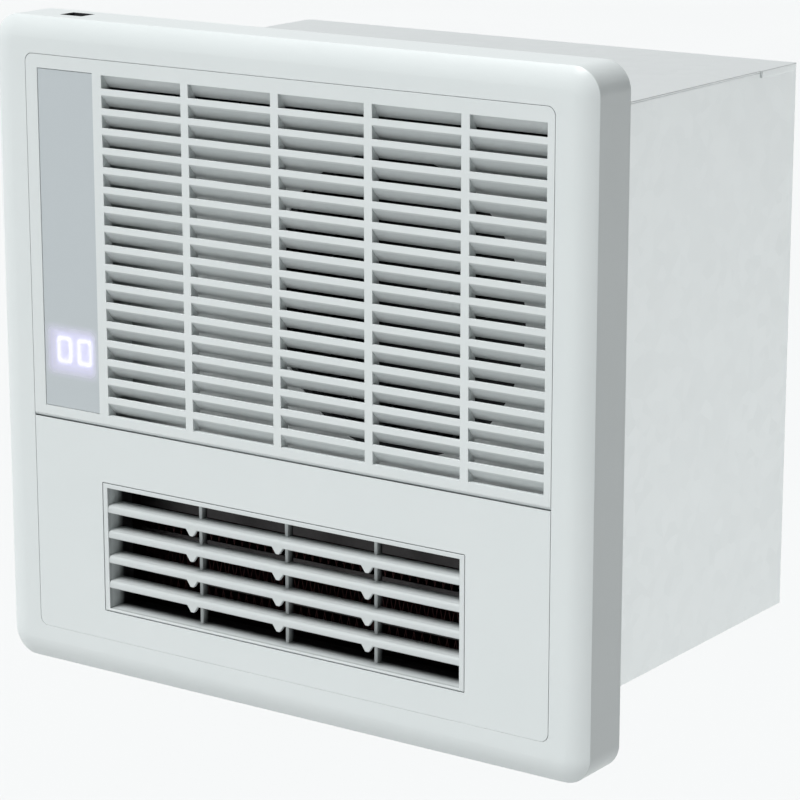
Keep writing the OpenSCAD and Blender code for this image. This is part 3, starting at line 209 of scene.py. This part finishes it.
def plainMetal(name, colour, shade, roughness, grain):
    # drawn or turned metal: fine marks blur the reflection
    made, tree, shader, coords = startMaterial(name, colour, Metallic=1.0)
    marks = addNode(tree, "ShaderNodeTexNoise", {"Scale": 1 / grain, "Detail": 4.0}, {"Vector": coords})
    mixTwo(tree, shader, colour, shade, marks.outputs[0])
    spreadRoughness(tree, shader, marks.outputs[0], roughness - 0.08, roughness + 0.08)
    addBump(tree, shader, marks.outputs[0], strength=0.1, depth=0.03 * mm)
    return made


def powderCoat(name, colour, shade, roughness):
    # polyester powder baked on sheet: even satin with the shallow dimples of orange peel
    made, tree, shader, coords = startMaterial(name, colour, Roughness=roughness, IOR=1.5)
    dimples = addNode(tree, "ShaderNodeTexNoise", {"Scale": 1 / patternSize["orangePeel"], "Detail": 1.0},
                      {"Vector": coords})
    mixTwo(tree, shader, colour, shade, dimples.outputs[0])
    spreadRoughness(tree, shader, dimples.outputs[0], roughness - 0.05, roughness + 0.05)
    addBump(tree, shader, dimples.outputs[0], strength=0.15, depth=0.1 * mm)
    return made


def stripedMetal(name, colour, shade, roughness, period, kind, axis, middle=(0, 0, 0)):
    # sheets, wires or grinding marks side by side, drawn a little coarser than they are so that they show
    made, tree, shader, coords = startMaterial(name, colour, Metallic=1.0)
    place = addNode(tree, "ShaderNodeMapping", {"Location": [-c for c in middle]}, {"Vector": coords})
    bands = {"wave_type": kind, "Scale": wavePitch / period, "Distortion": 0.0}
    bands["bands_direction" if kind == "BANDS" else "rings_direction"] = axis
    wave = addNode(tree, "ShaderNodeTexWave", bands, {"Vector": place.outputs[0]})
    mixTwo(tree, shader, colour, shade, wave.outputs[1])
    spreadRoughness(tree, shader, wave.outputs[1], roughness, roughness + 0.15)
    addBump(tree, shader, wave.outputs[1], strength=0.5, depth=0.2 * mm)
    return made


def darkPlastic(name, colour, shade, roughness, grain):
    # glass-filled plastic, moulded: dull black with a fine grain
    made, tree, shader, coords = startMaterial(name, colour, IOR=1.49)
    specks = addNode(tree, "ShaderNodeTexNoise", {"Scale": 1 / grain, "Detail": 3.0}, {"Vector": coords})
    mixTwo(tree, shader, colour, shade, specks.outputs[0])
    spreadRoughness(tree, shader, specks.outputs[0], roughness - 0.06, roughness + 0.1)
    addBump(tree, shader, specks.outputs[0], strength=0.2, depth=0.06 * mm)
    return made


def softFoam(name, colour, shade, cell):
    # closed-cell foam or rubber: no gloss, small pits
    made, tree, shader, coords = startMaterial(name, colour, Roughness=0.92)
    pits = addNode(tree, "ShaderNodeTexVoronoi", {"Scale": 1 / cell}, {"Vector": coords})
    mixTwo(tree, shader, colour, shade, pits.outputs["Distance"])
    addBump(tree, shader, pits.outputs["Distance"], strength=0.5, depth=0.3 * mm)
    return made


boardTones = {"resist": "#2A6446", "resistShade": "#2E6C4A", "track": "#3A7A55", "trackWidth": 0.04}


def boardMaterial():
    # glass-epoxy board under green solder resist: glossy, with copper tracks showing lighter
    made, tree, shader, coords = startMaterial("solder_resist_on_epoxy_board", boardTones["resist"],
                                               Roughness=0.3)
    tracks = addNode(tree, "ShaderNodeTexBrick", {"Scale": 1 / patternSize["boardTrack"],
                                                 "Mortar Size": boardTones["trackWidth"],
                                                 "Color1": linearColour(boardTones["resist"]),
                                                 "Color2": linearColour(boardTones["resistShade"]),
                                                 "Mortar": linearColour(boardTones["track"])})
    turned = addNode(tree, "ShaderNodeMapping", {"Rotation": (math.pi / 2, 0, 0)}, {"Vector": coords})
    tree.links.new(turned.outputs[0], tracks.inputs["Vector"])
    tree.links.new(tracks.outputs["Color"], shader.inputs["Base Color"])
    addBump(tree, shader, tracks.outputs["Fac"], strength=0.3, depth=0.05 * mm)
    return made


casingTones = [(0.0, "#24262A"), (0.4, "#2B4E86"), (0.62, "#D9D3B8")]


def componentMaterial():
    # relay and transformer casings: patches of black, blue and pale plastic
    made, tree, shader, coords = startMaterial("relay_and_coil_casings", "#2E4C78", Roughness=0.4)
    patches = addNode(tree, "ShaderNodeTexVoronoi", {"Scale": 1 / patternSize["casingPatch"]},
                      {"Vector": coords})
    tone = addNode(tree, "ShaderNodeRGBToBW", links={"Color": patches.outputs["Color"]})
    ramp = addNode(tree, "ShaderNodeValToRGB", links={"Fac": tone.outputs[0]})
    ramp.color_ramp.interpolation = "CONSTANT"
    setStops(ramp, casingTones)
    tree.links.new(ramp.outputs[0], shader.inputs["Base Color"])
    grain = addNode(tree, "ShaderNodeTexNoise", {"Scale": 1 / patternSize["casingGrain"]}, {"Vector": coords})
    addBump(tree, shader, grain.outputs[0], strength=0.1, depth=0.05 * mm)
    return made


windowLook = {
    "printed": "#ACB3B6",
    "clear": "#D9D8EC",
    "glow": "#E2E5F3",
    "paintedGlowStrength": 0.19,
    "digitsMiddle": (-147.55 * mm, -32 * mm, -0.5 * mm),
    "clearHalf": (21 * mm, 17 * mm),
    "fade": 8 * mm,
    "clearness": 0.55,
    "roughness": (0.16, 0.46),
}


def windowMaterial():
    # polycarbonate strip, printed pale grey behind and left thin over the digits, so they shine through
    glossy, cloudy = windowLook["roughness"]
    made, tree, shader, coords = startMaterial("backprinted_polycarbonate", windowLook["printed"],
                                               Roughness=glossy, IOR=1.45)
    place = addNode(tree, "ShaderNodeMapping", {"Location": [-c for c in windowLook["digitsMiddle"]]},
                    {"Vector": coords})
    apart = addNode(tree, "ShaderNodeSeparateXYZ", links={"Vector": place.outputs[0]})
    sides = []
    for axis, half in zip((0, 2), windowLook["clearHalf"]):
        away = addNode(tree, "ShaderNodeMath", {"operation": "ABSOLUTE"}, {0: apart.outputs[axis]})
        edge = addNode(tree, "ShaderNodeMapRange",
                       {"interpolation_type": "SMOOTHSTEP", "From Min": half - windowLook["fade"],
                        "From Max": half, "To Min": 1.0, "To Max": 0.0}, {"Value": away.outputs[0]})
        sides.append(edge.outputs[0])
    clear = addNode(tree, "ShaderNodeMath", {"operation": "MULTIPLY"}, {0: sides[0], 1: sides[1]})
    mixTwo(tree, shader, windowLook["printed"], windowLook["clear"], clear.outputs[0])
    through = addNode(tree, "ShaderNodeMath", {"operation": "MULTIPLY", 1: windowLook["clearness"]},
                      {0: clear.outputs[0]})
    tree.links.new(through.outputs[0], shader.inputs["Transmission Weight"])
    spreadRoughness(tree, shader, clear.outputs[0], glossy, cloudy)
    # painted glow: the sheet itself emits around the digits, standing for their light that spreads inside the
    # sheet
    shader.inputs["Emission Color"].default_value = linearColour(windowLook["glow"])
    paintedHalo = addNode(tree, "ShaderNodeMath", {"operation": "MULTIPLY", 1: windowLook["paintedGlowStrength"]},
                   {0: clear.outputs[0]})
    tree.links.new(paintedHalo.outputs[0], shader.inputs["Emission Strength"])
    return made


ledLook = {"body": "#F4F5FF", "violet": "#E8EAFF", "white": "#FFFFFF", "strength": 1.3}


def ledMaterial():
    # lit segments: cold white light with a trace of violet in soft patches
    made, tree, shader, coords = startMaterial("lit_led_segments", ledLook["body"], Roughness=0.5)
    shader.inputs["Emission Strength"].default_value = ledLook["strength"]
    cloud = addNode(tree, "ShaderNodeTexNoise", {"Scale": 1 / patternSize["ledCloud"]}, {"Vector": coords})
    mixTwo(tree, shader, ledLook["violet"], ledLook["white"], cloud.outputs[0], "Emission Color")
    return made


reflectorLook = {"colour": "#A4A9B1", "shade": "#9A9FA8", "strength": 0.1}


def milkyReflector():
    # grey-white acrylic block around the segments, which scatters their light; a trace of painted glow all
    # over stands for that light
    made, tree, shader, coords = startMaterial("moulded_milky_acrylic", reflectorLook["colour"],
                                               Roughness=0.35)
    cloud = addNode(tree, "ShaderNodeTexNoise", {"Scale": 1 / patternSize["acrylicCloud"]},
                    {"Vector": coords})
    mixTwo(tree, shader, reflectorLook["colour"], reflectorLook["shade"], cloud.outputs[0])
    shader.inputs["Emission Color"].default_value = linearColour(windowLook["glow"])
    shader.inputs["Emission Strength"].default_value = reflectorLook["strength"]
    return made


# painted shade and painted light over depth: Y in mm, where the front lies at -34 and the wall's surface at 0
outletPaintedShade = [(-34, "#C6CBCB"), (-33.3, "#B6BBBB"), (-32.5, "#B0B5B5"), (-31, "#CACFCF"),
               (-25.5, "#C8CDCD"), (-20.5, "#1C1D1E")]
# louvres: painted shade on the receding top of each blade, painted light of bounce deeper in
louvrePaintedLightAndShade = [(-34, "#CACFCF"), (-33.6, "#CACFCF"), (-32.6, "#BFC5C5"), (-31, "#CDD2D2"),
               (-29.3, "#DCE0E0"), (-27.5, "#DCE0E0")]

# white satin front, its outlet with painted shade that darkens it to black inside, and its louvres with
# painted shade and painted light by depth
frontAbs = mouldedAbs("front_abs", "#CACFCF", "#C6CCCC", 0.34)
# the outlet's moulding darkens to black with depth: painted shade of the vanes' rear and of the inside
outletShadedAbs = paintedDepthShadeAbs("front_abs_outlet_painted_shade", 0.34, outletPaintedShade)
louvreShadedAbs = paintedDepthShadeAbs("front_abs_louvred_painted_light_and_shade", 0.34, louvrePaintedLightAndShade)
# galvanised case, and duller sheet inside it
zincSheet = sheetMetal("galvanised_sheet", "#E9EDED", "#D0D5D5", 0.33, 0.36, 9 * mm)
innerZinc = sheetMetal("inner_galvanised_sheet", "#CFD4D4", "#B2B8B8", 0.34, 0.46, 7 * mm)
# dull black plastics of the scroll, the wheel and the gland; the scroll's black plastic also serves as
# painted shade on the release slot's walls
blackPpAndSlotShade = darkPlastic("black_filled_pp_and_slot_shade", "#17191B", "#1F2224", 0.5, 0.5 * mm)
wheelPp = darkPlastic("fan_wheel_pp", "#1B1D20", "#26292C", 0.42, 0.8 * mm)
glandNylon = darkPlastic("gland_nylon", "#212325", "#2B2E31", 0.46, 0.4 * mm)
# pale plastics of the ducts and flaps and of the bushes, and the inlet plate's satin coat
paleAbs = mouldedAbs("pale_duct_abs", "#D4D8D8", "#CBD0D0", 0.45)
bushNylon = mouldedAbs("natural_nylon", "#E2DFD4", "#D8D4C6", 0.5)
paleCoat = powderCoat("powder_coated_inlet_plate", "#D5D9D9", "#CFD4D4", 0.45)
# heater: metals that heat has turned dark, the fins a dull red-brown; all drawn darker still as painted shade
# of the deep inside
heaterSteel = plainMetal("heat_blued_steel_and_painted_shade", "#1E1817", "#2C2321", 0.5, 3 * mm)
finSheet = plainMetal("heater_fin_aluminium_and_painted_shade", "#40292A", "#553A38", 0.45, 2 * mm)
barTube = plainMetal("anodised_heater_tube_and_painted_shade", "#3C3A3B", "#4A4848", 0.4, 2 * mm)
# motor and screws: drawn can, ground shaft, bright zinc, stacked sheets, windings and porous bushes
motorCan = plainMetal("deep_drawn_motor_can", "#8F9497", "#A3A8AB", 0.32, 1.5 * mm)
shaftSteel = stripedMetal("ground_shaft_steel", "#BEC2C4", "#A9AEB1", 0.16, 0.9 * mm, "BANDS", "Y")
screwSteel = plainMetal("zinc_plated_screws", "#A8ABA6", "#8E918C", 0.3, 0.8 * mm)
coreStack = stripedMetal("stacked_core_sheets", "#5A5E62", "#3C4044", 0.38, 1.2 * mm, "BANDS", "Y")
copperCoil = stripedMetal("enamelled_copper_winding", "#A9602C", "#7A3F1B", 0.28, 1.1 * mm, "RINGS", "Y",
                          (53 * mm, 0, 45 * mm))
bronze = plainMetal("sintered_bronze", "#A27A3E", "#8A6632", 0.42, 0.5 * mm)
# dull seals and rubber mounts, and the capacitor's satin sleeve
foamSeal = softFoam("closed_cell_foam", "#3B3E41", "#2A2C2F", 1.4 * mm)
mountRubber = softFoam("vulcanised_rubber", "#26282A", "#1E2022", 0.6 * mm)
capSleeve = mouldedAbs("capacitor_can_sleeve", "#3C4653", "#333C48", 0.3)
# boards, casings and the display
boardResist = boardMaterial()
casings = componentMaterial()
windowSheet = windowMaterial()
ledLight = ledMaterial()
paintedGlowBlock = milkyReflector()
print("materials made")

# every CAD node that is kept gets its finish
finishes = {
    frontAbs: ["door_catches", "display_holder"],
    zincSheet: ["case_flange", "panel_brackets"],
    paleCoat: ["inlet_plate"],
    innerZinc: ["scroll_cover", "motor_bracket", "divider_shelf", "air_channel", "control_cover",
                "capacitor_clip"],
    blackPpAndSlotShade: ["fan_scroll", "thermal_cutouts", "terminal_block"],
    wheelPp: ["fan_wheel"],
    glandNylon: ["gland_nut"],
    paleAbs: ["changeover_flap", "backdraught_flap", "control_tray"],
    paintedGlowBlock: ["digit_module"],
    bushNylon: ["flap_bushes"],
    heaterSteel: ["outlet_sleeve", "heater_frame"],
    finSheet: ["heater_fins"],
    barTube: ["heater_bars_set"],
    motorCan: ["motor_housing", "motor_cap", "flap_motor"],
    shaftSteel: ["fan_shaft", "flap_shaft"],
    screwSteel: ["frame_screws", "motor_screws", "collar_screws", "wheel_nut"],
    coreStack: ["rotor_core", "stator_core"],
    copperCoil: ["stator_coils"],
    bronze: ["motor_bushes"],
    foamSeal: ["wall_seal", "flap_seal"],
    mountRubber: ["motor_rubbers"],
    capSleeve: ["run_capacitor"],
    boardResist: ["display_board", "control_board"],
    casings: ["board_parts"],
}
for finish, names in finishes.items():
    for name in names:
        cad[name].data.materials.clear()
        cad[name].data.materials.append(finish)


def placePiece(name, mesh, body, material, slotName, *replaced):
    made = bpy.data.objects.new(name, mesh)
    bpy.context.scene.collection.objects.link(made)
    mesh.materials.clear()
    mesh.materials.append(material)
    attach(made, body)
    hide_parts(*replaced)
    return made


# how a CAD mesh is cleaned, which points count as front or crest, which edges stay creased; angles in degrees
copyRules = {"merge": 0.002 * mm, "flatBelow": 0.4, "creaseAbove": 50, "frontBand": 0.05 * mm,
             "crestBand": 0.1 * mm}


def flareFront(shape, flare):
    # the front edges along the seams flare a trace, so that the seams look as fine as in the picture
    middle, reach = flare["middle"], flare["reach"]
    front = [vert for vert in shape.verts if vert.co.y < cadLow[1] + copyRules["frontBand"]]
    for vert in front:
        away = vert.co.z - middle
        if abs(vert.co.x) < reach[0] and abs(away) < reach[1]:
            vert.co.x *= 1 + flare["by"][0] / reach[0]
            vert.co.z = middle + away * (1 + flare["by"][1] / reach[1])
    if "lip" in flare:
        crest = max(vert.co.z for vert in front)
        for vert in front:
            if vert.co.z > crest - copyRules["crestBand"]:
                vert.co.z += flare["lip"]


def softenedCopy(name, source, body, material, slotName, look):
    # a copy of a CAD mesh with its outer edges rounded, in place of the sharp one
    shape = bmesh.new()
    shape.from_mesh(cad[source].data)
    bmesh.ops.remove_doubles(shape, verts=shape.verts, dist=copyRules["merge"])
    bmesh.ops.dissolve_limit(shape, angle_limit=math.radians(copyRules["flatBelow"]), verts=shape.verts,
                             edges=shape.edges)
    if "flare" in look:
        flareFront(shape, look["flare"])
    sharp = [edge for edge in shape.edges
             if len(edge.link_faces) == 2 and edge.is_convex
             and edge.calc_face_angle(0) > math.radians(look["sharpAbove"])
             and edge.calc_length() > look["shortest"]]
    bmesh.ops.bevel(shape, geom=sharp, offset=look["edgeRadius"], offset_type="OFFSET", affect="EDGES",
                    segments=look["steps"], profile=0.5, clamp_overlap=False, material=-1)
    for face in shape.faces:
        face.smooth = True
    for edge in shape.edges:
        edge.smooth = edge.calc_face_angle(0) < math.radians(copyRules["creaseAbove"])
    mesh = bpy.data.meshes.new(name)
    shape.to_mesh(mesh)
    shape.free()
    made = placePiece(name, mesh, body, material, slotName, source)
    even = made.modifiers.new("even shading", "WEIGHTED_NORMAL")
    even.keep_sharp = True
    return made


frameLook = {"edgeRadius": 0.18 * mm, "steps": 2, "sharpAbove": 28, "shortest": 0.45 * mm,
             "flare": {"middle": 0.25 * mm, "reach": (177 * mm, 169.3 * mm), "by": (-0.2 * mm, -0.2 * mm)}}
frontFrame = softenedCopy("front_frame_skin", "front_frame", "heater_body", frontAbs, "front_plastic",
                          frameLook)

# the release slot's walls take the black plastic as painted shade, so the slot shows dark; the box is in mm
slotShadeBox = {"low": (-163, -21, 187), "high": (-145, -7, 189.95)}
frontFrame.data.materials.append(blackPpAndSlotShade)
for face in frontFrame.data.polygons:
    if all(slotShadeBox["low"][i] * mm < face.center[i] < slotShadeBox["high"][i] * mm for i in range(3)):
        face.material_index = 1

panelLook = {"edgeRadius": 0.14 * mm, "steps": 2, "sharpAbove": 28, "shortest": 0.4 * mm,
             "flare": {"middle": -105.5 * mm, "reach": (177 * mm, 64 * mm), "by": (0.12 * mm, 0.33 * mm),
                       "lip": 0.45 * mm}}
softenedCopy("outlet_panel_skin", "outlet_panel", "heater_body", frontAbs, "front_plastic", panelLook)

grilleLook = {"edgeRadius": 0.3 * mm, "steps": 2, "sharpAbove": 28, "shortest": 0.7 * mm}
softenedCopy("outlet_grille_skin", "outlet_grille", "heater_body", outletShadedAbs, "front_plastic", grilleLook)

doorLook = {"edgeRadius": 0.14 * mm, "steps": 2, "sharpAbove": 28, "shortest": 0.45 * mm,
            "flare": {"middle": 63.5 * mm, "reach": (177 * mm, 107 * mm), "by": (0.12 * mm, 0.17 * mm)}}
softenedCopy("louvred_door_skin", "intake_door", "door_body", louvreShadedAbs, "front_plastic", doorLook)

stripLook = {"edgeRadius": 0.25 * mm, "steps": 2, "sharpAbove": 28, "shortest": 1 * mm}
softenedCopy("display_strip", "display_window", "door_body", windowSheet, "smoked_window", stripLook)

caseLook = {"edgeRadius": 0.3 * mm, "steps": 2, "sharpAbove": 40, "shortest": 2 * mm}
for sheetName in ("case_top", "case_left", "case_right", "case_bottom", "case_back"):
    softenedCopy(sheetName + "_sheet", sheetName, "heater_body", zincSheet, "zinc_sheet", caseLook)

collarLook = {"edgeRadius": 0.5 * mm, "steps": 2, "sharpAbove": 40, "shortest": 2 * mm}
softenedCopy("duct_collar_moulding", "duct_collar", "heater_body", paleAbs, "light_plastic", collarLook)

glandLook = {"edgeRadius": 0.4 * mm, "steps": 2, "sharpAbove": 40, "shortest": 0.9 * mm}
softenedCopy("cable_gland_body", "cable_gland", "heater_body", glandNylon, "black_plastic", glandLook)
print("front and case pieces made")

# digits: six-sided bars with pointed ends that overlap a trace, as in a moulded display
digitLook = {"width": 11 * mm, "height": 16 * mm, "stroke": 2.4 * mm, "pitch": 15 * mm,
             "overlap": 0.2 * mm, "thick": 0.6 * mm}


def addBar(shape, centre, length, angle):
    # a flat hexagon, drawn out along its length and stood up; its flats lie half a stroke off its middle
    stroke = digitLook["stroke"]
    tip = length / 2 + digitLook["overlap"]
    shoulder = tip - stroke / 3
    alongX = Matrix.Rotation(math.radians(90), 4, "Z")
    ring = bmesh.ops.create_circle(shape, cap_ends=True, segments=6, radius=stroke / 2,
                                   matrix=alongX)["verts"]
    for vert in ring:
        isTip = abs(vert.co.y) < stroke / 10
        vert.co.x = math.copysign(tip if isTip else shoulder, vert.co.x)
        vert.co.y *= 1 / math.sin(math.radians(60))
    turnBar = Matrix.Rotation(math.radians(angle), 4, "Z")
    standUp = Matrix.Rotation(math.radians(90), 4, "X")
    bmesh.ops.transform(shape, matrix=Matrix.Translation(centre) @ standUp @ turnBar, verts=ring)


ledLow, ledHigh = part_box("digit_segments")
middle = (ledLow + ledHigh) / 2
wide = digitLook["width"] - digitLook["stroke"]
tall = digitLook["height"] - digitLook["stroke"]
lying = [(0, tall / 2), (0, -tall / 2)]
standing = [(x, z) for x in (-wide / 2, wide / 2) for z in (-tall / 4, tall / 4)]
bars = [(place, wide, 0) for place in lying] + [(place, tall / 2, 90) for place in standing]
digitShape = bmesh.new()
for side in (-1, 1):
    for (x, z), length, angle in bars:
        centre = Vector((middle.x + side * digitLook["pitch"] / 2 + x, ledHigh.y, middle.z + z))
        addBar(digitShape, centre, length, angle)
raised = bmesh.ops.extrude_face_region(digitShape, geom=digitShape.faces[:])["geom"]
raisedVerts = [part for part in raised if isinstance(part, bmesh.types.BMVert)]
bmesh.ops.translate(digitShape, vec=(0, -digitLook["thick"], 0), verts=raisedVerts)
bmesh.ops.recalc_face_normals(digitShape, faces=digitShape.faces)
digitMesh = bpy.data.meshes.new("digit_bars")
digitShape.to_mesh(digitMesh)
digitShape.free()
placePiece("digit_bars", digitMesh, "heater_body", ledLight, "lit_segments", "digit_segments")
print("digits made")

# pale floor far below the hung heater, seen as the plain ground of the picture
floorLook = {"height": -0.9, "reach": 60.0, "tone": "#D4D5D5", "shade": "#D2D3D3", "specular": 0.1}


def mattPaper():
    # matt backdrop paper: no gloss, so no picture of the heater lies in it
    made, tree, shader, coords = startMaterial("matt_pale_paper", floorLook["tone"], Roughness=0.9)
    shader.inputs["Specular IOR Level"].default_value = floorLook["specular"]
    fibre = addNode(tree, "ShaderNodeTexNoise", {"Scale": 1 / patternSize["paperCloud"], "Detail": 1.0},
                    {"Vector": coords})
    mixTwo(tree, shader, floorLook["tone"], floorLook["shade"], fibre.outputs[0])
    return made


floorShape = bmesh.new()
bmesh.ops.create_grid(floorShape, x_segments=2, y_segments=2, size=floorLook["reach"])
bmesh.ops.translate(floorShape, vec=(0, 0, floorLook["height"]), verts=floorShape.verts)
floorMesh = bpy.data.meshes.new("floor")
floorShape.to_mesh(floorMesh)
floorShape.free()
floor = bpy.data.objects.new("floor", floorMesh)
bpy.context.scene.collection.objects.link(floor)
floorMesh.materials.append(mattPaper())

# soft light: a room bright to the left and dim to the right, a wide key from above, a weak one overhead
lightLook = {"sky": "#F8FAFB", "dim": 0.17, "bright": 0.74, "dimFrom": 0.5, "brightFrom": -0.6,
             "key": 0.97, "towards": (-0.2, -0.49, 0.85), "spread": 30, "overhead": 0.2, "wide": 60}
world = bpy.data.worlds.new("studio")
bpy.context.scene.world = world
world.use_nodes = True
worldTree = world.node_tree
worldTree.nodes.clear()
heading = addNode(worldTree, "ShaderNodeTexCoord").outputs["Generated"]
parts = addNode(worldTree, "ShaderNodeSeparateXYZ", links={"Vector": heading})
level = addNode(worldTree, "ShaderNodeMapRange",
                {"interpolation_type": "SMOOTHSTEP", "From Min": lightLook["dimFrom"],
                 "From Max": lightLook["brightFrom"], "To Min": lightLook["dim"],
                 "To Max": lightLook["bright"]}, {"Value": parts.outputs[0]})
sky = addNode(worldTree, "ShaderNodeBackground", {"Color": linearColour(lightLook["sky"])},
              {"Strength": level.outputs[0]})
addNode(worldTree, "ShaderNodeOutputWorld", links={"Surface": sky.outputs[0]})
softboxes = (("key softbox", lightLook["key"], lightLook["spread"], lightLook["towards"]),
             ("overhead softbox", lightLook["overhead"], lightLook["wide"], (0, 0, 1)))
for name, power, angle, towards in softboxes:
    sun = bpy.data.lights.new(name, "SUN")
    sun.energy = power * math.pi
    sun.angle = math.radians(angle)
    lamp = bpy.data.objects.new(name, sun)
    lamp.rotation_euler = Vector(towards).to_track_quat("Z", "Y").to_euler()
    bpy.context.scene.collection.objects.link(lamp)
print("floor and light made")
